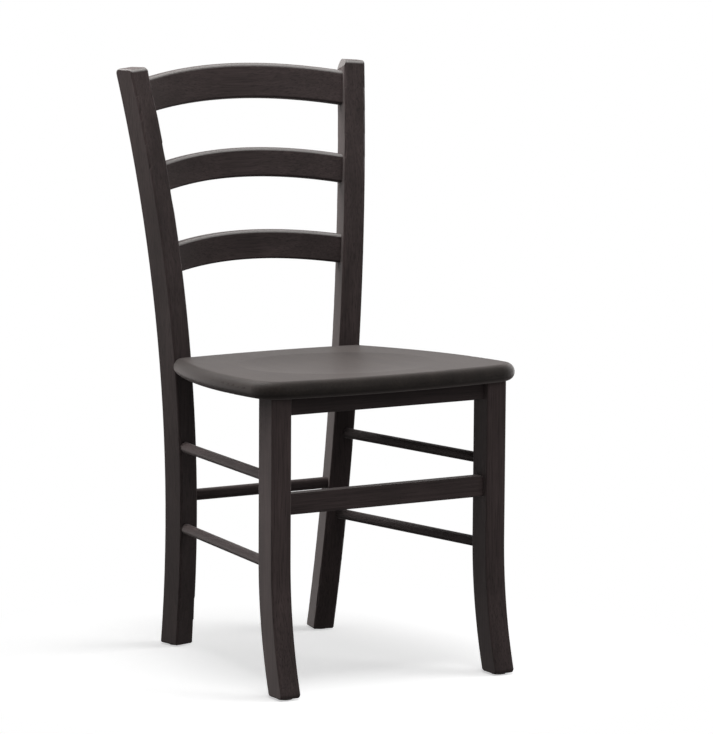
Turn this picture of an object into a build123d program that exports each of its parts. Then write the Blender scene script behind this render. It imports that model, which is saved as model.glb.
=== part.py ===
from build123d import *
import os
from math import asin, cos, degrees, radians, sin, sqrt, tan

# Ladder-back dining chair in solid wood, in millimetres.
# It faces -Y and stands on Z = 0, with the origin under the middle of its box.
os.makedirs("parts", exist_ok=True)

# Whole chair
overall_height = 881
front_leg_line = -199.2     # Y of the front legs' middle, where their curve begins
rear_post_line = 163.8      # Y of the rear posts' middle, at their waist
glue_gap = 0.15             # room around each tenon, dowel and rod end
cut_margin = 15             # how far a blank runs past the plane that trims it

# Rear posts: a sabre curve with its foremost point, the waist, just below the seat
post_width = 33
post_depth = 39
post_turn = 12              # degrees that the front faces turn inward
post_lean = 3.95            # degrees that the posts lean outward
post_waist_height = 411
post_waist_spread = 291     # between the posts' middles at the waist
post_bend_radius = 1960
post_edge_round = 3
post_top_round = 7
post_bevel_height = 13      # bevel on the inner edge of the top
post_bevel_width = 5

# Front legs: straight above, curved forward near the floor
leg_width = 32.5
leg_depth = 41
leg_spread = 361.5          # between the legs' middles
leg_rake = 0.74             # degrees that the straight part leans, top forward
leg_bend_height = 200
leg_bend_radius = 627
leg_edge_round = 3
leg_foot_round = 6          # front and rear edges of the foot

# Foot glides
glide_height = 2
glide_radius = 11
glide_edge_round = 0.8
glide_pin_radius = 2
glide_pin_length = 12

# Seat: glued up from boards, sloping down to the rear, with a shallow hollow
seat_front_height = 460.6   # top of the front edge
seat_thickness = 26
seat_slope = 1.7            # degrees
seat_front_width = 432
seat_rear_width = 319
seat_front_overhang = 11.7  # from the legs' front faces to the front corners
seat_front_bow = 26
seat_rear_bow = 13
seat_side_bow = 23
seat_rear_lap = 4           # the rear corners reach this far past the posts' front faces
seat_front_corner = 48
seat_rear_corner = 45
seat_top_round = 13
seat_edge_flat = 1          # upright band between the edge's upper and lower round
seat_hollow_depth = 4.5
seat_hollow_radius = 145    # of the hollow's rim
seat_hollow_forward = 22    # the hollow lies this far in front of the seat's middle
seat_board_width = 84
seat_board_count = 5
seat_post_gap = 0.3

# Back slats: name, lower edge at the posts measured down from the chair's top, height, arch of both edges
slats = (
    ("back_slat_lower", 308, 44.5, 13.5),
    ("back_slat_middle", 186.5, 44, 18.5),
    ("back_slat_top", 69, 52.5, 21.5),
)
slat_thickness = 16
slat_bow = 30.6
slat_front_round = 7        # upper front edge
slat_edge_round = 3         # the other three edges
slat_tenon_thickness = 9
slat_tenon_depth = 14
slat_shoulder = 7           # from the slat's edges to the tenon's

# Rails
apron_height = 26.2
apron_thickness = 20
stretcher_bottom = 263
stretcher_height = 30.5
stretcher_thickness = 20
rail_edge_round = 2
rear_rail_height = 13
rear_rail_depth = 16
rear_rail_forward = 12      # the rail's middle lies this far in front of the posts' middle

# Round rods
side_rod_radius = 7.8
side_rod_heights = {"upper": 312.5, "lower": 186.5}
side_rod_rise = 3           # from the rear end to the front end
rear_rod_radius = 8.8
rear_rod_height = 234.5
rod_end_bevel = 1

# Dowels and screws
dowel_radius = 3
dowel_reach = 11            # into each of the two pieces
dowel_bevel = 0.6
apron_dowel_pitch = 11
stretcher_dowel_pitch = 15
screw_radius = 2
screw_head_radius = 4
screw_head_height = 2.5
screw_tip_length = 4
screw_gap = 0.1
block_side = 42
block_height = 18
block_chamfer = 6           # blunts the two sharp corners
seat_screw_length = 34
seat_screw_inset = 13       # from the block's two straight sides
rail_screw_length = 32
rail_screw_spacing = 168
block_screw_length = 26

sides = {"left": -1, "right": 1}


def save(piece, name):
    """Labels a finished piece and writes it under its own name."""
    piece.part.label = name
    export_step(piece.part, f"parts/{name}.step")
    print(name, len(piece.part.solids()), "solid(s)", round(piece.part.volume / 1000, 1), "cm3")


# Places that several pieces share


def post_plane(side):
    """Middle plane of a post: Y along the leaning post, X towards the rear, origin at the waist."""
    rearward = Vector(side * sin(radians(post_turn)), cos(radians(post_turn)), 0)
    upward = Vector(side * sin(radians(post_lean)), 0, cos(radians(post_lean)))
    across = rearward.cross(upward)
    waist = (side * post_waist_spread / 2, rear_post_line, post_waist_height)
    return Plane(origin=waist, x_dir=upward.cross(across), z_dir=across)


def along_post(height):
    """Distance along a post from its waist to a height above the floor."""
    return (height - post_waist_height) / cos(radians(post_lean))


def post_middle(side, height, inward=0):
    """Point on a post's curved middle line, moved towards the chair's middle."""
    along = along_post(height)
    back = post_bend_radius - sqrt(post_bend_radius**2 - along**2)
    return post_plane(side).from_local_coords(Vector(back, along, -side * inward))


def post_inner_face(side, sunk=0):
    """Plane of a post's inner face, or one sunk into the post. Its normal points to +X."""
    return post_plane(side).offset(side * (sunk - post_width / 2))


def post_top_angle():
    """Degrees that the posts' upper ends lean to the rear."""
    return degrees(asin(along_post(overall_height) / post_bend_radius))


def post_bevel_plane(side):
    """Plane that blunts the inner edge of a post's top. Its normal points out of the post."""
    plane = post_plane(side)
    lean = radians(post_top_angle())
    along = plane.x_dir * sin(lean) + plane.y_dir * cos(lean)
    start = post_middle(side, overall_height, post_width / 2) - along * post_bevel_height
    outward = plane.z_dir * side
    normal = along * post_bevel_width - outward * post_bevel_height
    return Plane(origin=start, x_dir=plane.x_dir, z_dir=normal)


def leg_middle(height):
    """Y of a front leg's middle at a height above the floor."""
    if height >= leg_bend_height:
        return front_leg_line - (height - leg_bend_height) * tan(radians(leg_rake))
    middle_height = leg_bend_height - leg_bend_radius * sin(radians(leg_rake))
    middle_y = front_leg_line - leg_bend_radius * cos(radians(leg_rake))
    return middle_y + sqrt(leg_bend_radius**2 - (height - middle_height) ** 2)


leg_inner_x = (leg_spread - leg_width) / 2
leg_front_face = leg_middle(seat_front_height) - leg_depth / 2
seat_front_edge = leg_front_face - seat_front_overhang
seat_rear_edge = rear_post_line - post_depth / 2 + seat_rear_lap
seat_up = Vector(0, sin(radians(seat_slope)), cos(radians(seat_slope)))
seat_top = Plane(origin=(0, seat_front_edge, seat_front_height), x_dir=(1, 0, 0), z_dir=seat_up)
seat_under = seat_top.offset(-seat_thickness)


def under_seat_height(y):
    """Height of the seat's underside at a place between front and rear."""
    return seat_under.origin.Z - (y - seat_under.origin.Y) * tan(radians(seat_slope))


# Shapes that are used for a piece and, a little larger, for the hole that takes it


def shallow_arc(half_chord, rise, base, reach, grow=0):
    """Arc that rises over a chord and runs on past both its ends. grow widens its radius."""
    radius = (half_chord**2 + rise**2) / (2 * rise)
    half_angle = degrees(asin((half_chord + reach) / radius))
    return CenterArc((0, base + rise - radius), radius + grow, 90 - half_angle, 2 * half_angle)


def close_ends(first, second):
    """Joins the ends of two curves that run side by side."""
    Line(first @ 0, second @ 0)
    Line(first @ 1, second @ 1)


def post_blank(side, grow):
    """Curved post with a rounded top, untrimmed at its foot."""
    top_angle = post_top_angle()
    foot_angle = degrees(asin((cut_margin - along_post(0)) / post_bend_radius))
    half_depth = post_depth / 2 + grow
    with BuildPart() as blank:
        with BuildSketch(post_plane(side)):
            with BuildLine():
                curves = []
                for shift in (-half_depth, half_depth):
                    middle = (post_bend_radius + shift, 0)
                    turn = top_angle + foot_angle
                    curves.append(CenterArc(middle, post_bend_radius, 180 - top_angle, turn))
                close_ends(*curves)
            outline = make_face()
            fillet(outline.vertices().sort_by(Axis.Y)[-2:], post_top_round)
        extrude(amount=post_width / 2 + grow, both=True)
    return blank.part


def slat_bar(drop, height, arch, thickness, inset, sunk):
    """Bowed and arched bar between the posts: inset from the slat's edges, sunk into the posts."""
    middle_height = overall_height - drop + height / 2
    end = post_middle(1, middle_height, post_width / 2)
    lean = asin(along_post(middle_height) / post_bend_radius)
    half_height = height / 2 / cos(lean) - inset
    origin = (0, end.Y, middle_height)
    plan = Plane(origin=origin, x_dir=(1, 0, 0), z_dir=(0, sin(lean), cos(lean)))
    front = Plane(origin=origin, x_dir=(1, 0, 0), z_dir=(0, -cos(lean), sin(lean)))
    with BuildPart() as bar:
        with BuildSketch(plan):
            with BuildLine():
                close_ends(
                    shallow_arc(end.X, slat_bow, 0, post_width, -thickness / 2),
                    shallow_arc(end.X, slat_bow, 0, post_width, thickness / 2),
                )
            make_face()
        extrude(amount=height, both=True)
        with BuildSketch(front):
            with BuildLine():
                close_ends(
                    shallow_arc(end.X, arch, -half_height, post_width + cut_margin),
                    shallow_arc(end.X, arch, half_height, post_width + cut_margin),
                )
            make_face()
        extrude(amount=slat_bow + post_width, both=True, mode=Mode.INTERSECT)
        if inset == 0:
            long_edges = bar.edges().sort_by(SortBy.LENGTH)[-4:].sort_by(Axis.Z)
            upper_front = long_edges[-2:].sort_by(Axis.Y)[0]
            fillet(upper_front, slat_front_round)
            long_edges = bar.edges().filter_by(lambda edge: edge.length > end.X).sort_by(Axis.Z)
            lower_edges = long_edges[:2]
            upper_rear = long_edges.sort_by(Axis.Y)[-1]
            fillet(lower_edges + [upper_rear], slat_edge_round)
        split(bisect_by=post_inner_face(-1, sunk), keep=Keep.TOP)
        split(bisect_by=post_inner_face(1, sunk), keep=Keep.BOTTOM)
    return bar.part


def rod_blank(start, finish, radius, extra):
    """Round rod from one point to another, longer by extra at each end."""
    run = finish - start
    with BuildPart() as blank:
        with BuildSketch(Plane(origin=start - run.normalized() * extra, z_dir=run)):
            Circle(radius)
        extrude(amount=run.length + 2 * extra)
    return blank.part


def dowel_blank(grow):
    """Dowel across a joint at the origin, along X."""
    with BuildPart() as blank:
        with BuildSketch(Plane.YZ):
            Circle(dowel_radius + grow)
        extrude(amount=dowel_reach + grow, both=True)
        if grow == 0:
            chamfer(blank.edges(), dowel_bevel)
    return blank.part


def screw_blank(length, grow):
    """Countersunk wood screw: head flush with the origin's plane, pointing along +Z."""
    head = screw_head_radius + grow
    shank = screw_radius + grow
    with BuildPart() as blank:
        with BuildSketch(Plane.XZ):
            with BuildLine():
                Polyline(
                    (0, 0),
                    (head, 0),
                    (shank, screw_head_height + grow),
                    (shank, length - screw_tip_length + grow),
                    (0, length + grow),
                    close=True,
                )
            make_face()
        revolve(axis=Axis.Z)
    return blank.part


def glide_blank(grow):
    """Round glide with a pin, standing on the floor at the origin."""
    with BuildPart() as blank:
        with BuildSketch():
            Circle(glide_radius)
        extrude(amount=glide_height)
        fillet(blank.edges().sort_by(Axis.Z)[0], glide_edge_round)
        with BuildSketch(Plane.XY.offset(glide_height)):
            Circle(glide_pin_radius + grow)
        extrude(amount=glide_pin_length + grow)
    return blank.part


# Places of the feet, rods, dowels and screws

foot_places = {}
for side_name, side in sides.items():
    post_foot = post_middle(side, glide_height)
    foot_places["rear", side_name] = Location((post_foot.X, post_foot.Y, 0))
    foot_places["front", side_name] = Location((side * leg_spread / 2, leg_middle(glide_height), 0))

side_rods = {}
for side_name, side in sides.items():
    for level, rear_height in side_rod_heights.items():
        front_height = rear_height + side_rod_rise
        front_end = Vector(side * leg_spread / 2, leg_middle(front_height), front_height)
        side_rods[side_name, level] = (front_end, post_middle(side, rear_height))
rear_rod_ends = (post_middle(-1, rear_rod_height), post_middle(1, rear_rod_height))

apron_y = leg_middle(seat_under.origin.Z)
apron_back = apron_y + apron_thickness / 2
apron_bottom = under_seat_height(apron_y) - apron_height
apron_middle = apron_bottom + apron_height / 2
stretcher_middle = stretcher_bottom + stretcher_height / 2
stretcher_y = leg_middle(stretcher_middle)
rear_rail_y = rear_post_line - rear_rail_forward
rear_rail_bottom = under_seat_height(rear_rail_y) - rear_rail_height
rear_rail_middle = rear_rail_bottom + rear_rail_height / 2
block_bottom = under_seat_height(apron_back) - block_height


def rail_end_pair(y, middle, pitch):
    """Places of two dowels, one above the other, at each end of a rail between the front legs."""
    heights = (middle - pitch / 2, middle + pitch / 2)
    return [Location((side * leg_inner_x, y, height)) for side in sides.values() for height in heights]


apron_dowel_places = rail_end_pair(apron_y, apron_middle, apron_dowel_pitch)
stretcher_dowel_places = rail_end_pair(stretcher_y, stretcher_middle, stretcher_dowel_pitch)
rear_rail_dowel_places = []
for side in sides.values():
    face = post_inner_face(side)
    reach = Axis((0, rear_rail_y, rear_rail_middle), (1, 0, 0)).intersect(face)
    rear_rail_dowel_places.append(Location(reach))

seat_screw_places = []
block_screw_places = []
for side in sides.values():
    screw_x = side * (leg_inner_x - seat_screw_inset)
    seat_screw_places.append(Plane(origin=(screw_x, apron_back + seat_screw_inset, block_bottom)))
    slope_x = side * (leg_inner_x - block_side / 2)
    on_slope = (slope_x, apron_back + block_side / 2, block_bottom + block_height / 2)
    block_screw_places.append(Plane(origin=on_slope, x_dir=(1, 0, 0), z_dir=(0, -1, 0)))
rail_screw_places = [
    Plane(origin=(side * rail_screw_spacing / 2, rear_rail_y, rear_rail_bottom)) for side in sides.values()
]

dowel_hole = dowel_blank(glue_gap)
seat_screw_hole = screw_blank(seat_screw_length, screw_gap)
rail_screw_hole = screw_blank(rail_screw_length, screw_gap)
block_screw_hole = screw_blank(block_screw_length, screw_gap)
glide_hole = glide_blank(glue_gap)
rod_holes = {
    place: rod_blank(*ends, side_rod_radius + glue_gap, glue_gap) for place, ends in side_rods.items()
}
rear_rod_hole = rod_blank(*rear_rod_ends, rear_rod_radius + glue_gap, glue_gap)
mortises = [
    slat_bar(
        drop,
        height,
        arch,
        slat_tenon_thickness + 2 * glue_gap,
        slat_shoulder - glue_gap,
        slat_tenon_depth + glue_gap,
    )
    for _, drop, height, arch in slats
]

# Rear posts
for side_name, side in sides.items():
    blank = post_blank(side, 0)
    with BuildPart() as post:
        add(blank)
        split(bisect_by=Plane.XY.offset(glide_height), keep=Keep.TOP)
        foot_edges = post.faces().sort_by(Axis.Z)[0].edges()
        broad_faces = post.faces().sort_by(SortBy.AREA)[-4:].filter_by(GeomType.PLANE)
        side_edges = broad_faces.edges().filter_by(lambda edge: edge not in foot_edges)
        fillet(foot_edges + side_edges, post_edge_round)
        split(bisect_by=post_bevel_plane(side), keep=Keep.BOTTOM)
        for mortise in mortises:
            add(mortise, mode=Mode.SUBTRACT)
        for level in side_rod_heights:
            add(rod_holes[side_name, level], mode=Mode.SUBTRACT)
        add(rear_rod_hole, mode=Mode.SUBTRACT)
        with Locations(*rear_rail_dowel_places):
            add(dowel_hole, mode=Mode.SUBTRACT)
        with Locations(foot_places["rear", side_name]):
            add(glide_hole, mode=Mode.SUBTRACT)
    save(post, f"rear_post_{side_name}")

# Front legs
for side_name, side in sides.items():
    straight = (seat_front_height - leg_bend_height) / cos(radians(leg_rake))
    foot_slope = (leg_bend_height - glide_height) / leg_bend_radius - sin(radians(leg_rake))
    curve_angle = leg_rake + degrees(asin(foot_slope))
    downward = (sin(radians(leg_rake)), -cos(radians(leg_rake)))
    with BuildPart() as leg:
        with BuildSketch(Plane.YZ.offset(side * leg_spread / 2)):
            with BuildLine():
                curves = []
                for shift in (-leg_depth / 2, leg_depth / 2):
                    bend = Vector(front_leg_line + shift, leg_bend_height)
                    upper_end = bend - Vector(*downward) * straight
                    Line(upper_end, bend)
                    lower = JernArc(bend, downward, leg_bend_radius, -curve_angle)
                    curves.append((upper_end, lower @ 1))
                Line(curves[0][0], curves[1][0])
                Line(curves[0][1], curves[1][1])
            outline = make_face()
            fillet(outline.vertices().sort_by(Axis.Y)[:2], leg_foot_round)
        extrude(amount=leg_width / 2, both=True)
        top_edges = leg.faces().sort_by(Axis.Z)[-1].edges()
        side_edges = leg.faces().filter_by(Axis.X).edges().filter_by(lambda edge: edge not in top_edges)
        fillet(side_edges, leg_edge_round)
        split(bisect_by=seat_under, keep=Keep.BOTTOM)
        for level in side_rod_heights:
            add(rod_holes[side_name, level], mode=Mode.SUBTRACT)
        with Locations(*apron_dowel_places, *stretcher_dowel_places):
            add(dowel_hole, mode=Mode.SUBTRACT)
        with Locations(foot_places["front", side_name]):
            add(glide_hole, mode=Mode.SUBTRACT)
    save(leg, f"front_leg_{side_name}")

# Back slats
for name, drop, height, arch in slats:
    body = slat_bar(drop, height, arch, slat_thickness, 0, 0)
    tenon = slat_bar(drop, height, arch, slat_tenon_thickness, slat_shoulder, slat_tenon_depth)
    with BuildPart() as slat:
        add(body)
        add(tenon)
    save(slat, name)

# Seat: shaped whole, then parted into the boards that it is glued up from
post_blanks = [post_blank(side, seat_post_gap) for side in sides.values()]
front_half = seat_front_width / 2
rear_half = seat_rear_width / 2
seat_depth = seat_rear_edge - seat_front_edge
side_middle = (front_half + rear_half) / 2 + seat_side_bow
seat_bottom_round = seat_thickness - seat_top_round - seat_edge_flat
hollow_sphere = (seat_hollow_radius**2 + seat_hollow_depth**2) / (2 * seat_hollow_depth)
hollow_height = hollow_sphere - seat_hollow_depth
hollow_place = Vector(0, seat_depth / 2 - seat_hollow_forward, hollow_height)
hollow_middle = seat_top.from_local_coords(hollow_place)
with BuildPart() as seat:
    with BuildSketch(seat_under):
        with BuildLine():
            ThreePointArc((-front_half, 0), (0, -seat_front_bow), (front_half, 0))
            ThreePointArc((front_half, 0), (side_middle, seat_depth / 2), (rear_half, seat_depth))
            ThreePointArc((rear_half, seat_depth), (0, seat_depth + seat_rear_bow), (-rear_half, seat_depth))
            ThreePointArc((-rear_half, seat_depth), (-side_middle, seat_depth / 2), (-front_half, 0))
        outline = make_face()
        corners = outline.vertices().sort_by(Axis.Y)
        fillet(corners[:2], seat_front_corner)
        fillet(corners[2:], seat_rear_corner)
    extrude(amount=seat_thickness)
    fillet(seat.faces().sort_by(Axis.Z)[-1].edges(), seat_top_round)
    fillet(seat.faces().sort_by(Axis.Z)[0].edges(), seat_bottom_round)
    with Locations(hollow_middle):
        Sphere(hollow_sphere, mode=Mode.SUBTRACT)
    for blank in post_blanks:
        add(blank, mode=Mode.SUBTRACT)
    with Locations(*seat_screw_places):
        add(seat_screw_hole, mode=Mode.SUBTRACT)
    with Locations(*rail_screw_places):
        add(rail_screw_hole, mode=Mode.SUBTRACT)

for number in range(seat_board_count):
    left_joint = (number - seat_board_count / 2) * seat_board_width
    with BuildPart() as board:
        add(seat.part)
        if number > 0:
            split(bisect_by=Plane.YZ.offset(left_joint), keep=Keep.TOP)
        if number < seat_board_count - 1:
            split(bisect_by=Plane.YZ.offset(left_joint + seat_board_width), keep=Keep.BOTTOM)
    save(board, f"seat_board_{number + 1}")

# Front apron, its top following the seat's slope
with BuildPart() as apron:
    with BuildSketch(Plane.XY.offset(apron_bottom)):
        with Locations((0, apron_y)):
            Rectangle(2 * leg_inner_x, apron_thickness)
    extrude(amount=apron_height + cut_margin)
    split(bisect_by=seat_under, keep=Keep.BOTTOM)
    fillet(apron.faces().sort_by(Axis.Z)[0].edges().filter_by(Axis.X), rail_edge_round)
    with Locations(*apron_dowel_places):
        add(dowel_hole, mode=Mode.SUBTRACT)
    with Locations(*block_screw_places):
        add(block_screw_hole, mode=Mode.SUBTRACT)
save(apron, "front_apron")

# Front stretcher
with BuildPart() as stretcher:
    with BuildSketch(Plane.XY.offset(stretcher_bottom)):
        with Locations((0, stretcher_y)):
            Rectangle(2 * leg_inner_x, stretcher_thickness)
    extrude(amount=stretcher_height)
    fillet(stretcher.edges().filter_by(Axis.X), rail_edge_round)
    with Locations(*stretcher_dowel_places):
        add(dowel_hole, mode=Mode.SUBTRACT)
save(stretcher, "front_stretcher")

# Rear seat rail, trimmed to the posts' inner faces and to the seat
with BuildPart() as rear_rail:
    with BuildSketch(Plane.XY.offset(rear_rail_bottom)):
        with Locations((0, rear_rail_y)):
            Rectangle(post_waist_spread, rear_rail_depth)
    extrude(amount=rear_rail_height + cut_margin)
    split(bisect_by=seat_under, keep=Keep.BOTTOM)
    fillet(rear_rail.faces().sort_by(Axis.Z)[0].edges().filter_by(Axis.X), rail_edge_round)
    split(bisect_by=post_inner_face(-1), keep=Keep.TOP)
    split(bisect_by=post_inner_face(1), keep=Keep.BOTTOM)
    with Locations(*rear_rail_dowel_places):
        add(dowel_hole, mode=Mode.SUBTRACT)
    with Locations(*rail_screw_places):
        add(rail_screw_hole, mode=Mode.SUBTRACT)
save(rear_rail, "rear_seat_rail")

# Round rods
for (side_name, level), ends in side_rods.items():
    blank = rod_blank(*ends, side_rod_radius, 0)
    with BuildPart() as rod:
        add(blank)
        chamfer(rod.edges().filter_by(GeomType.CIRCLE), rod_end_bevel)
    save(rod, f"side_rod_{level}_{side_name}")
blank = rod_blank(*rear_rod_ends, rear_rod_radius, 0)
with BuildPart() as rear_rod:
    add(blank)
    chamfer(rear_rod.edges().filter_by(GeomType.CIRCLE), rod_end_bevel)
save(rear_rod, "rear_rod")

# Corner blocks behind the apron, against the legs' inner faces
for side_name, side in sides.items():
    inner_x = side * leg_inner_x
    with BuildPart() as block:
        with BuildSketch(Plane.XY.offset(block_bottom)):
            with BuildLine():
                Polyline(
                    (inner_x, apron_back),
                    (inner_x - side * block_side, apron_back),
                    (inner_x - side * block_side, apron_back + block_chamfer),
                    (inner_x - side * block_chamfer, apron_back + block_side),
                    (inner_x, apron_back + block_side),
                    close=True,
                )
            make_face()
        extrude(amount=block_height + cut_margin)
        split(bisect_by=seat_under, keep=Keep.BOTTOM)
        with Locations(*seat_screw_places):
            add(seat_screw_hole, mode=Mode.SUBTRACT)
        with Locations(*block_screw_places):
            add(block_screw_hole, mode=Mode.SUBTRACT)
    save(block, f"corner_block_{side_name}")

# Foot glides
glide = glide_blank(0)
for (end_name, side_name), place in foot_places.items():
    with BuildPart() as foot_glide:
        with Locations(place):
            add(glide)
    save(foot_glide, f"foot_glide_{end_name}_{side_name}")

# Dowels and screws, one group for each kind of joint
fastener_groups = {
    "apron_dowels": (dowel_blank(0), apron_dowel_places),
    "stretcher_dowels": (dowel_blank(0), stretcher_dowel_places),
    "rear_rail_dowels": (dowel_blank(0), rear_rail_dowel_places),
    "seat_screws": (screw_blank(seat_screw_length, 0), seat_screw_places),
    "rear_rail_screws": (screw_blank(rail_screw_length, 0), rail_screw_places),
    "corner_block_screws": (screw_blank(block_screw_length, 0), block_screw_places),
}
for name, (fastener, places) in fastener_groups.items():
    with BuildPart() as group:
        with Locations(*places):
            add(fastener)
    save(group, name)
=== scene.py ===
# %% [markdown]
# # A dark ladder-back chair
#
# The chair is already built: posts, legs, slats, rails, rods, seat boards and the joinery inside come from
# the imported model, each as an object of its own at its real size in metres. This lesson only dresses it, so
# it starts by loading that model and keeping its box. Nothing below moves a piece or changes its mesh.

# %% Load the chair
from math import radians

import bmesh
import bpy
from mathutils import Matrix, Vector


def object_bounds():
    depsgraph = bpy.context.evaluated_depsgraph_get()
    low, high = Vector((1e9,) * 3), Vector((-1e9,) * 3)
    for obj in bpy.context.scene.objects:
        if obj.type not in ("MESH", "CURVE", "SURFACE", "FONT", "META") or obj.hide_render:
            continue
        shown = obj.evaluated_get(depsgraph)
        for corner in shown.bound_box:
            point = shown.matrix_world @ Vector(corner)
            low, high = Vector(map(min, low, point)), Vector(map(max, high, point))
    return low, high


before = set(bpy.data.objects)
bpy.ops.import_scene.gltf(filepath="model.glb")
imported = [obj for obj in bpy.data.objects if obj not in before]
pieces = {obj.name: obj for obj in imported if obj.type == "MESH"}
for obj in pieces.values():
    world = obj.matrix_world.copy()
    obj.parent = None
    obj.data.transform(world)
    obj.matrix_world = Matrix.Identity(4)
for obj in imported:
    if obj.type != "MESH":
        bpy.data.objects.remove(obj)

scene = bpy.context.scene
solid_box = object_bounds()
print(len(pieces), "pieces, size in metres:", [round(side, 4) for side in solid_box[1] - solid_box[0]])

# %% [markdown]
# ## The camera
#
# The photograph was taken from far away with a long lens, a little above seat height, about thirty degrees
# to the chair's right hand. A long lens keeps the four legs almost parallel. The place and the angles below
# were solved from the chair's own straight pieces. The focal length was found in pixels of the photograph,
# so it is turned into millimetres with the sensor's size, which belongs to the picture's longer side.

# %% Camera
photo_height = 734                          # pixels, the longer side
focal_pixels = 4442.85
camera_place = (-3.24504, -5.68497, 1.33024)
camera_pitch = -7.73                        # degrees, downward
camera_yaw = -30.26                         # degrees, to the right of straight ahead
level_look = 90                             # degrees: an unturned camera looks straight down

lens = bpy.data.cameras.new("camera")
lens.lens = lens.sensor_width * focal_pixels / photo_height
camera = bpy.data.objects.new("camera", lens)
camera.location = camera_place
camera.rotation_euler = (radians(level_look + camera_pitch), 0, radians(camera_yaw))
scene.collection.objects.link(camera)
scene.camera = camera
print("focal length in millimetres:", round(lens.lens, 1))

# %% [markdown]
# ## Building node trees by hand
#
# Every finish below is a small tree of shader nodes. A node has sockets: values go in on its left and come
# out on its right, and noodles join them. Four helpers do what dragging nodes and noodles in the shader
# editor does: one adds a node and sets it, one joins an outgoing socket to an ingoing one, one stretches a
# value from one span to another, and one works out a value from two others. The Standard view shows each
# colour as it is, without a film curve.

# %% Helpers for shader nodes
unit_span = (0.0, 1.0)


def add(tree, kind, inputs=(), **settings):
    """Adds a node, sets its properties and the values of its inputs."""
    node = tree.nodes.new(kind)
    for name, value in settings.items():
        setattr(node, name, value)
    for name, value in dict(inputs).items():
        node.inputs[name].default_value = value
    return node


def join(tree, socket, node, name):
    """Joins an outgoing socket to one of a node's inputs."""
    tree.links.new(socket, node.inputs[name])


def remap(tree, socket, span, to=unit_span, **settings):
    """Stretches a value from one span to another, and stops it at both ends."""
    limits = {"From Min": span[0], "From Max": span[1], "To Min": to[0], "To Max": to[1]}
    stretch = add(tree, "ShaderNodeMapRange", limits, **settings)
    join(tree, socket, stretch, "Value")
    return stretch.outputs["Result"]


def combine(tree, operation, first, second):
    """Works out one value from two others."""
    result = add(tree, "ShaderNodeMath", operation=operation)
    join(tree, first, result, 0)
    join(tree, second, result, 1)
    return result.outputs["Value"]


scene.view_settings.view_transform = "Standard"
print("colours are shown as written, with the", scene.view_settings.view_transform, "view")

# %% [markdown]
# A finish is a material with an empty tree to fill. One helper makes that, and one goes from one shader to
# another. The last is about what can be seen: a ray of light knows where it came from, so the Light Path
# node tells what the camera sees, straight on, in a mirror or through glass, from light that only bounces
# about.


# %% Helpers for materials
def new_material(name):
    """Makes an empty material and returns it with its tree and its output node."""
    material = bpy.data.materials.new(name)
    material.use_nodes = True
    material.node_tree.nodes.clear()
    return material, material.node_tree, add(material.node_tree, "ShaderNodeOutputMaterial")


def mix_shaders(tree, share, first, second):
    """Goes from the first shader to the second as the share goes from zero to one."""
    mix = add(tree, "ShaderNodeMixShader")
    join(tree, share, mix, 0)
    join(tree, first, mix, 1)
    join(tree, second, mix, 2)
    return mix.outputs["Shader"]


def seen_rays(tree):
    """One for what the camera sees, straight on, mirrored or through glass, and zero for all else."""
    rays = add(tree, "ShaderNodeLightPath").outputs
    straight_or_mirrored = combine(tree, "MAXIMUM", rays["Is Camera Ray"], rays["Is Glossy Ray"])
    return combine(tree, "MAXIMUM", straight_or_mirrored, rays["Is Transmission Ray"])


# %% [markdown]
# ## The floor
#
# The chair stands on plain white paper that shows only soft shadows. A round sheet is enough: one circle,
# filled. It lies a hair below the feet, because two faces in one plane flicker.

# %% Floor sheet
floor_radius = 6.0
floor_sides = 96
floor_drop = 0.0003                         # metres

sheet = bmesh.new()
bmesh.ops.create_circle(sheet, cap_ends=True, radius=floor_radius, segments=floor_sides)
bmesh.ops.translate(sheet, verts=sheet.verts, vec=(0, 0, -floor_drop))
floor_mesh = bpy.data.meshes.new("floor")
sheet.to_mesh(floor_mesh)
sheet.free()
floor = bpy.data.objects.new("floor", floor_mesh)
scene.collection.objects.link(floor)
print("floor of", floor_radius, "m radius with", len(floor_mesh.vertices), "corners")

# %% [markdown]
# The paper is a white diffuse surface, which takes the shadows, with some light of its own for the camera
# and for reflections, so that it is as white as the background where no shadow falls. For light that
# bounces up to the chair the paper is greyer, or it would brighten the chair from below.

# %% White paper
paper_white = (0.8, 0.8, 0.8, 1)            # as the camera sees it
paper_bounce = (0.41, 0.41, 0.41, 1)        # as the chair sees it
paper_glow = 0.52

paper, tree, output = new_material("white_paper")
seen = seen_rays(tree)
white = add(tree, "ShaderNodeMixRGB", {"Color1": paper_bounce, "Color2": paper_white})
matt = add(tree, "ShaderNodeBsdfDiffuse")
glow = add(tree, "ShaderNodeEmission")
shaded = add(tree, "ShaderNodeAddShader")
join(tree, seen, white, "Fac")
join(tree, white.outputs["Color"], matt, "Color")
join(tree, remap(tree, seen, unit_span, (0, paper_glow)), glow, "Strength")
join(tree, matt.outputs["BSDF"], shaded, 0)
join(tree, glow.outputs["Emission"], shaded, 1)
floor_mesh.materials.append(paper)
print("paper of", paper_white[0], "white with", paper_glow, "of its own light")

# %% [markdown]
# Away from the chair the shade fades out into plain white, so the sheet's edge can't be seen. From below
# the paper is clear, so that a look from there shows the joinery.

# %% Fade and clear back
fade_span = (0.33, 0.6)                     # metres from the middle of the chair

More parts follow.
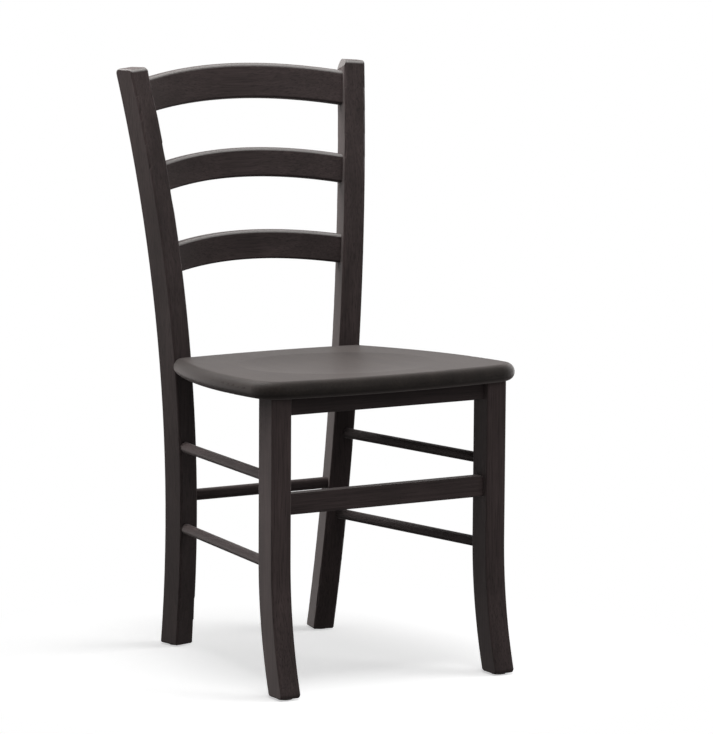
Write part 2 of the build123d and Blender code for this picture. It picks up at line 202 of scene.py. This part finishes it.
distance = add(tree, "ShaderNodeVectorMath", operation="LENGTH")
join(tree, add(tree, "ShaderNodeTexCoord").outputs["Object"], distance, 0)
fade = remap(tree, distance.outputs["Value"], fade_span, interpolation_type="SMOOTHSTEP")
plain = add(tree, "ShaderNodeEmission").outputs["Emission"]
clear = add(tree, "ShaderNodeBsdfTransparent").outputs["BSDF"]
from_below = add(tree, "ShaderNodeNewGeometry").outputs["Backfacing"]
upper_side = mix_shaders(tree, combine(tree, "MULTIPLY", fade, seen), shaded.outputs["Shader"], plain)
join(tree, mix_shaders(tree, from_below, upper_side, clear), output, "Surface")
print("paper fades to plain white from", fade_span[0], "to", fade_span[1], "m")

# %% [markdown]
# ## The room
#
# The photograph's background is white, and so are the walls of the room around this chair, but only for the
# camera and in reflections. As a source of light the room is dim. A bright one would reach every corner,
# and the shadows under the seat and between the slats would lose their depth.

# %% White room
room_white = (1, 1, 1, 1)
room_light = 0.12

room = bpy.data.worlds.new("white_room")
room.use_nodes = True
tree = room.node_tree
tree.nodes.clear()
light = add(tree, "ShaderNodeBackground", {"Color": room_white})
output = add(tree, "ShaderNodeOutputWorld")
join(tree, remap(tree, seen_rays(tree), unit_span, (room_light, 1)), light, "Strength")
join(tree, light.outputs["Background"], output, "Surface")
scene.world = room
print("the room gives", room_light, "of a white room's light")

# %% [markdown]
# ## Five soft lamps
#
# In the photograph the tops are the lightest faces, the left sides come next and the fronts are dark. So
# one lamp hangs over the chair, the strongest stands high behind it and makes the seat gleam towards the
# camera, one stands on the left, and a weaker one in front keeps the fronts from going black. The fifth
# stands on the right, for the side that the photograph doesn't show. All are large squares, because a large
# lamp has no hard shadow.

# %% Lamps
lamp_size = 1.6
lamp_aim = Vector((0, 0, 0.5))              # about the height of the seat
over_power = 25                             # watts
over_place = (-0.1, -0.5, 2.6)
back_power = 80
back_place = (-0.4, 1.4, 2.4)
left_power = 29
left_place = (-1.0, 0.3, 1.9)
front_power = 28
front_place = (0.3, -2.4, 1.5)
right_power = 24
right_place = (2.0, 0.5, 0.7)


def place_lamp(name, data, place, aim):
    """Stands a lamp in its place and turns it to look at the aim."""
    lamp = bpy.data.objects.new(name, data)
    lamp.location = place
    lamp.rotation_euler = (aim - lamp.location).to_track_quat("-Z", "Y").to_euler()
    scene.collection.objects.link(lamp)
    print(name, round((aim - lamp.location).length, 2), "m from its aim")
    return lamp


def soft_lamp(name, power, place):
    """A large square lamp that looks at the chair."""
    data = bpy.data.lights.new(name, "AREA")
    data.energy = power
    data.size = lamp_size
    return place_lamp(name, data, place, lamp_aim)


soft_lamp("over_lamp", over_power, over_place)
chair_lamps = [
    soft_lamp("back_lamp", back_power, back_place),
    soft_lamp("left_lamp", left_power, left_place),
    soft_lamp("front_lamp", front_power, front_place),
    soft_lamp("right_lamp", right_power, right_place),
]

# %% [markdown]
# ## Shadows on the paper
#
# The paper shows the seat's soft shadow between the rear feet, and a short streak on the left of each foot.
# The lamp over the chair makes part of the first. For the rest the paper has two lights of its own, one
# high and towards the front, one low and on the right. A sun is handy here: it is as strong everywhere, and
# its angle sets how soft the shadow is.

# %% Lights for the paper
high_strength = 0.4
high_spread = 20                            # degrees across
high_place = (-0.2, -0.6, 2.4)              # only the direction counts for a sun
low_strength = 2.0
low_spread = 45
low_place = (2.15, -1.25, 0.95)
paper_middle = Vector((0, 0, 0))


def paper_sun(name, strength, spread, place):
    """A sun that shines on the middle of the paper."""
    data = bpy.data.lights.new(name, "SUN")
    data.energy = strength
    data.angle = radians(spread)
    return place_lamp(name, data, place, paper_middle)


paper_lamps = [
    paper_sun("high_sun", high_strength, high_spread, high_place),
    paper_sun("low_sun", low_strength, low_spread, low_place),
]

# %% [markdown]
# On the chair these two would spoil the shading, and the lamps behind, beside and in front of the chair
# would throw shadows on the paper that the photograph doesn't have. Light linking keeps them apart: a lamp
# is told which things to light by a collection, in which each thing is marked as in or out.

# %% Light linking
chair_only = bpy.data.collections.new("all_but_the_paper")
chair_only.objects.link(floor)
chair_only.collection_objects[0].light_linking.link_state = "EXCLUDE"
for lamp in chair_lamps:
    lamp.light_linking.receiver_collection = chair_only
paper_only = bpy.data.collections.new("only_the_paper")
paper_only.objects.link(floor)
for lamp in paper_lamps:
    lamp.light_linking.receiver_collection = paper_only
print(len(chair_lamps), "lamps leave the paper out, and", len(paper_lamps), "light nothing else")

# %% [markdown]
# ## Dark stained wood
#
# The chair is beech under a very dark brown stain and a thin waxed lacquer. The stain sinks deeper into the
# soft part of each growth ring, so the brown comes in long faint bands; fine fibres run inside the bands;
# short pores are the darkest. It was wiped on by hand, so it is not quite even over a board.
#
# All of it is made from noise that is stretched along the grain. Stretching is a Mapping node with a small
# scale along one axis. Each piece gets its own start in the noise, because it was cut from another place in
# another board.

# %% Noise along the grain
band_noise = {"Scale": 24.0, "Detail": 5.0, "Roughness": 0.6, "Distortion": 0.5}    # cells per metre
fibre_noise = {"Scale": 380.0, "Detail": 3.0, "Roughness": 0.55}
pore_noise = {"Scale": 900.0, "Detail": 1.0}
wipe_noise = {"Scale": 14.0, "Detail": 3.0}
band_stretch = 0.05                         # scale along the grain, as a share of that across it
fibre_stretch = 0.02
wipe_stretch = 1.0
axes = "XYZ"


def noise_along(tree, place, grain, start, stretch, settings):
    """Noise on the piece's own coordinates, drawn out along the grain."""
    scale = [stretch if axis == grain else 1.0 for axis in axes]
    mapping = add(tree, "ShaderNodeMapping", {"Location": start, "Scale": scale})
    noise = add(tree, "ShaderNodeTexNoise", settings)
    join(tree, place, mapping, "Vector")
    join(tree, mapping.outputs["Vector"], noise, "Vector")
    return noise.outputs["Fac"]


def two_tones(tree, noise, dark, pale, span=unit_span):
    """Colours a noise from dark to pale over a span of its values."""
    ramp = add(tree, "ShaderNodeValToRGB")
    for element, position, colour in zip(ramp.color_ramp.elements, span, (dark, pale)):
        element.position = position
        element.color = colour
    join(tree, noise, ramp, "Fac")
    return ramp.outputs["Color"]


print("bands are", round(1 / band_stretch), "times as long as wide, fibres", round(1 / fibre_stretch))

# %% [markdown]
# ## The stain's brown
#
# Fibres and pores are shares of the brown: a pale fibre is a little more than one, a pore a good deal less.
# Multiplied with the colour of the bands they draw the fine grain over it. The upward part of the normal
# tells what faces down. Undersides are darker in colour: painted shade, as little light reaches them.

# %% Brown of the stain
band_span = (0.3, 0.72)                     # noise values of the darkest and the palest bands
fibre_span = (0.3, 0.7)
fibre_shade = (0.8, 1.2)                    # share of the brown in dark and in pale fibres
pore_span = (0.34, 0.44)
pore_shade = (0.6, 1.0)
wipe_span = (0.3, 0.7)
wipe_shade = (0.85, 1.15)
# painted shade on undersides, darkest where they face straight down
under_span = (0.1, -0.5)                    # upward part of the normal where the dark starts and is full
painted_under_shade = (1.0, 0.6)                    # share of the brown at the start and in the full painted shade


def upward(tree, normal="Normal"):
    """The upward part of a normal: one on a level top, zero on a side and less than that below."""
    parts = add(tree, "ShaderNodeSeparateXYZ")
    join(tree, add(tree, "ShaderNodeNewGeometry").outputs[normal], parts, "Vector")
    return parts.outputs["Z"]


def fine_grain(tree, fibres, pores):
    """The share of the brown in each fibre and pore."""
    streaks = remap(tree, fibres, fibre_span, fibre_shade)
    return combine(tree, "MULTIPLY", streaks, remap(tree, pores, pore_span, pore_shade))


def stain(tree, bands, fine, wiped, up, dark, pale):
    """The brown of the bands with the fine grain drawn over it, not quite even, and darker below as painted
    shade.
    """
    uneven = combine(tree, "MULTIPLY", fine, remap(tree, wiped, wipe_span, wipe_shade))
    shade = combine(tree, "MULTIPLY", uneven, remap(tree, up, under_span, painted_under_shade))
    brown = add(tree, "ShaderNodeVectorMath", operation="SCALE")
    join(tree, two_tones(tree, bands, dark, pale, band_span), brown, 0)
    join(tree, shade, brown, "Scale")
    return brown.outputs["Vector"]


print("undersides keep", painted_under_shade[1], "of the brown")

# %% [markdown]
# ## Rubbed edges and painted highlights
#
# Hands rub every edge a little, so there the stain is a little paler. The rounded upper edges of the slats
# and posts are paler still: a painted highlight, for the light that falls on them from above. A Bevel node
# gives the normal that a rounded edge would have: where it differs from the real normal, there is an edge.
# The upper roundings lie between the upright faces and the flat tops, so the upward part of the normal finds
# them. It is taken from the smooth normal and from the triangle's own, and the smaller one counts, because
# smooth normals are blended far down the long triangles of an edge.

# %% Wear and painted highlight from the normal
edge_width = 0.0025                         # metres
edge_samples = 6
edge_span = (0.995, 0.9)                    # how alike the two normals are, on a face and on an edge
edge_wear = (0.0, 0.08)                     # share of the worn colour there
round_start = (0.27, 0.5)                   # upward part of the normal where the painted highlight starts and is full
round_end = (0.96, 0.8)                     # and where it is gone again and is still full
reach_fade = 0.01                           # metres of height in which the painted highlight sets in


def edges(tree):
    """A little paler colour on every edge, where hands rub it."""
    rounded = add(tree, "ShaderNodeBevel", {"Radius": edge_width}, samples=edge_samples)
    alike = add(tree, "ShaderNodeVectorMath", operation="DOT_PRODUCT")
    join(tree, rounded.outputs["Normal"], alike, 0)
    join(tree, add(tree, "ShaderNodeNewGeometry").outputs["Normal"], alike, 1)
    return remap(tree, alike.outputs["Value"], edge_span, edge_wear)


def painted_highlight_roundings(tree, place, up, highlight_from):
    """A painted highlight on upper roundings, from a height upwards."""
    both_up = combine(tree, "MINIMUM", up, upward(tree, "True Normal"))
    above_sides = remap(tree, both_up, round_start)
    before_tops = remap(tree, both_up, round_end)
    rounding = combine(tree, "MULTIPLY", above_sides, before_tops)
    heights = add(tree, "ShaderNodeSeparateXYZ")
    join(tree, place, heights, "Vector")
    reach = remap(tree, heights.outputs["Z"], (highlight_from, highlight_from + reach_fade))
    return combine(tree, "MULTIPLY", rounding, reach)


def worn_and_highlighted(tree, brown, place, up, highlight_from, wear_and_highlight_colour):
    """The brown, paler along edges that hands rub, and paler still on upper roundings as a painted highlight.
    """
    rubbed = add(tree, "ShaderNodeMixRGB", {"Color2": wear_and_highlight_colour})
    wear_and_highlight_share = combine(tree, "MAXIMUM", edges(tree), painted_highlight_roundings(tree, place, up, highlight_from))
    join(tree, wear_and_highlight_share, rubbed, "Fac")
    join(tree, brown, rubbed, "Color1")
    return rubbed.outputs["Color"]


print("every edge wears a little over", edge_width, "m")

# %% [markdown]
# ## The waxed lacquer
#
# The lacquer hardly mirrors anything, but under a flat look along the seat it turns light, as waxed wood
# does. That is what Sheen is for: a haze that shows at grazing angles. Sheen and mirror level are the same
# all over, so they are set on the shader itself and no node leads to them.

# %% Waxed lacquer
lacquer_level = 0.05
wax_weight = 0.163
wax_roughness = 0.5
wax_tint = (1.0, 0.89, 0.86, 1)


def waxed_lacquer(tree, colour, roughness, normal):
    """A dull shader with a haze of wax at flat angles."""
    lacquer = add(tree, "ShaderNodeBsdfPrincipled", {
        "Specular IOR Level": lacquer_level, "Sheen Weight": wax_weight,
        "Sheen Roughness": wax_roughness, "Sheen Tint": wax_tint,
    })
    join(tree, colour, lacquer, "Base Color")
    join(tree, roughness, lacquer, "Roughness")
    join(tree, normal, lacquer, "Normal")
    return lacquer.outputs["BSDF"]


print("wax haze of", wax_weight, "over a mirror level of", lacquer_level)

# %% [markdown]
# ## The finish as one function
#
# Now the whole finish can be put together for one piece. The lacquer is so thin that it follows the fibres,
# so its roughness and a very shallow bump follow them too. Below it is quite dull.

# %% Stained wood
lacquer_spread = 0.06                       # roughness of fibres above and below the mean
relief_strength = 0.25
relief_depth = 0.0003                       # metres


def stained_wood(name, grain, start, dark, pale, gloss, wear_and_highlight_colour=None, highlight_from=0.0, flat=False):
    """Stained wood with its grain along one axis, paler on rubbed edges and with a painted highlight on upper
    roundings where a pale colour is given.
    """
    material, tree, output = new_material(name)
    place = add(tree, "ShaderNodeTexCoord").outputs["Object"]
    bands = noise_along(tree, place, grain, start, band_stretch, band_noise)
    fibres = noise_along(tree, place, grain, start, fibre_stretch, fibre_noise)
    pores = noise_along(tree, place, grain, start, fibre_stretch, pore_noise)
    wiped = noise_along(tree, place, grain, start, wipe_stretch, wipe_noise)
    up = upward(tree)

    fine = fine_grain(tree, fibres, pores)
    colour = stain(tree, bands, fine, wiped, up, dark, pale)
    if wear_and_highlight_colour:
        colour = worn_and_highlighted(tree, colour, place, up, highlight_from, wear_and_highlight_colour)

    satin = remap(tree, fibres, unit_span, (gloss - lacquer_spread, gloss + lacquer_spread))
    roughness = combine(tree, "MAXIMUM", satin, remap(tree, up, under_span))
    relief = add(tree, "ShaderNodeBump", {"Strength": relief_strength, "Distance": relief_depth})
    join(tree, fine, relief, "Height")
    if flat:
        join(tree, add(tree, "ShaderNodeNewGeometry").outputs["True Normal"], relief, "Normal")
    join(tree, waxed_lacquer(tree, colour, roughness, relief.outputs["Normal"]), output, "Surface")
    return material


print("the roughness of fibres stays within", lacquer_spread, "of the mean")

# %% [markdown]
# ## Grain along each piece of the frame
#
# A joiner runs the grain along the length of every piece, or it would snap. Posts and legs have it upright,
# slats, rails and the rear rod from side to side, the side rods from front to back. The front legs are a
# little lighter and the slats a little darker, so these pieces have a tone of their own. The apron is darker
# still: painted shade, for the shadow that the seat casts on it.

# %% Grain, tone and painted shade of the frame
grain_of = {
    "Z": ["rear_post_left", "rear_post_right", "front_leg_left", "front_leg_right"],
    "X": ["back_slat_lower", "back_slat_middle", "back_slat_top", "front_apron", "front_stretcher",
          "rear_seat_rail", "rear_rod"],
    "Y": ["side_rod_upper_left", "side_rod_upper_right", "side_rod_lower_left", "side_rod_lower_right"],
}
plain_tone = 1.0
leg_tone = 1.2
slat_tone = 0.93
# darker as painted shade: the seat's shadow on the apron
apron_shade_tone = 0.68
tone_and_shade_of = {
    "front_leg_left": leg_tone, "front_leg_right": leg_tone, "front_apron": apron_shade_tone,
    "back_slat_lower": slat_tone, "back_slat_middle": slat_tone, "back_slat_top": slat_tone,
}
start_steps = (0.37, -0.37, 0.185)          # metres in the noise from one piece to the next, on each axis


def toned(colour, tone):
    """The colour, lighter or darker."""
    return [part * tone for part in colour[:3]] + [1]


def start_of(count):
    """Where a piece starts in the noise, by its place in the count."""
    return [step * count for step in start_steps]


print({grain: len(names) for grain, names in grain_of.items()}, "pieces by the axis of their grain")

# %% [markdown]
# The round rods, the stretcher and what is under the seat get no rubbed edges and no painted highlight, and a
# post gets the painted highlight only at its top. On the posts and legs the blended normals of the long edge
# triangles show as light slivers. Their faces are almost flat, so these pieces are shaded by the true normal
# of each triangle instead.

# %% Stain the frame
frame_dark = (0.021, 0.0153, 0.0150, 1)
frame_pale = (0.041, 0.030, 0.0295, 1)
# paler colour of rubbed edges, and of the painted highlight on upper roundings
frame_wear_and_highlight = (0.175, 0.166, 0.162, 1)
frame_gloss = 0.5
no_wear_no_highlight = grain_of["Y"] + ["rear_rod", "rear_seat_rail", "front_apron", "front_stretcher"]
flat_shaded = grain_of["Z"]
post_top = 0.03                             # metres below the highest point


def dress(name, material):
    """Puts a finish on a piece."""
    pieces[name].material_slots[0].material = material


count = 0
for grain, names in grain_of.items():
    for name in names:
        count += 1
        tone = tone_and_shade_of.get(name, plain_tone)
        wear_and_highlight_colour = None if name in no_wear_no_highlight else frame_wear_and_highlight
        flat = name in flat_shaded
        highlight_from = solid_box[1][2] - post_top if flat else 0.0
        dress(name, stained_wood("wood_" + name, grain, start_of(count), toned(frame_dark, tone),
                                 toned(frame_pale, tone), frame_gloss, wear_and_highlight_colour, highlight_from, flat))
print(count, "pieces of the frame are stained")

# %% [markdown]
# ## The seat
#
# The seat is glued up from boards that run from front to back, and its stain is the darkest of all. In the
# photograph its top is nevertheless the lightest large face, because it is seen at a flat angle against the
# light from behind. So its colour stays dark and the wax does the rest: seen from above, it is a dark seat.

# %% Stain the seat
seat_dark = (0.010, 0.0082, 0.0072, 1)
seat_pale = (0.018, 0.0145, 0.0125, 1)
seat_gloss = 0.5

seat_boards = [name for name in pieces if name.startswith("seat_board")]
for name in seat_boards:
    count += 1
    dress(name, stained_wood("wood_" + name, "Y", start_of(count), seat_dark, seat_pale, seat_gloss))
print(len(seat_boards), "boards of the seat are stained")

# %% [markdown]
# ## Bare beech out of sight
#
# Corner blocks and dowels are never stained: glue holds better on bare wood, and nobody sees them. They are
# the same wood with another brown, so the same function makes them.

# %% Bare beech
bare_dark = (0.42, 0.27, 0.15, 1)
bare_pale = (0.60, 0.43, 0.27, 1)
bare_gloss = 0.62

bare_pieces = ["corner_block_left", "corner_block_right", "apron_dowels", "stretcher_dowels",
               "rear_rail_dowels"]
for name in bare_pieces:
    count += 1
    dress(name, stained_wood("wood_" + name, "X", start_of(count), bare_dark, bare_pale, bare_gloss))
print(len(bare_pieces), "nodes stay bare")

# %% [markdown]
# ## Zinc-plated screws
#
# The screws that hold the seat and the blocks are steel with a thin yellowish zinc plating. Plating is
# cloudy: one noise changes its tint and its polish together. A metal takes its colour from Base Color when
# Metallic is one.

# %% Zinc plating
zinc_dark = (0.42, 0.40, 0.34, 1)
zinc_pale = (0.62, 0.60, 0.55, 1)
zinc_noise = {"Scale": 300.0, "Detail": 3.0}
zinc_polish = (0.28, 0.45)                  # roughness of clear and of cloudy plating


def cloudy(name, settings, dark, pale, polish, metallic):
    """A plain hard finish whose tint and polish change in small clouds."""
    material, tree, output = new_material(name)
    noise = add(tree, "ShaderNodeTexNoise", settings)
    cloud = noise.outputs["Fac"]
    skin = add(tree, "ShaderNodeBsdfPrincipled", {"Metallic": metallic})
    join(tree, add(tree, "ShaderNodeTexCoord").outputs["Object"], noise, "Vector")
    join(tree, two_tones(tree, cloud, dark, pale), skin, "Base Color")
    join(tree, remap(tree, cloud, unit_span, polish), skin, "Roughness")
    join(tree, skin.outputs["BSDF"], output, "Surface")
    return material


plating = cloudy("zinc_plating", zinc_noise, zinc_dark, zinc_pale, zinc_polish, metallic=1.0)
screws = [name for name in pieces if name.endswith("_screws")]
for name in screws:
    dress(name, plating)
print("plated:", screws)

# %% [markdown]
# ## Plastic glides
#
# Each foot ends in a hard dark plastic glide, scuffed by the floor. It is made as the plating is, but it
# isn't a metal, and it is duller.

# %% Scuffed plastic
plastic_dark = (0.016, 0.014, 0.013, 1)
plastic_pale = (0.045, 0.040, 0.036, 1)
plastic_noise = {"Scale": 220.0, "Detail": 4.0}
plastic_scuff = (0.45, 0.75)                # roughness of smooth and of scuffed plastic

plastic = cloudy("scuffed_plastic", plastic_noise, plastic_dark, plastic_pale, plastic_scuff, metallic=0.0)
glides = [name for name in pieces if name.startswith("foot_glide")]
for name in glides:
    dress(name, plastic)
print("glides:", glides)
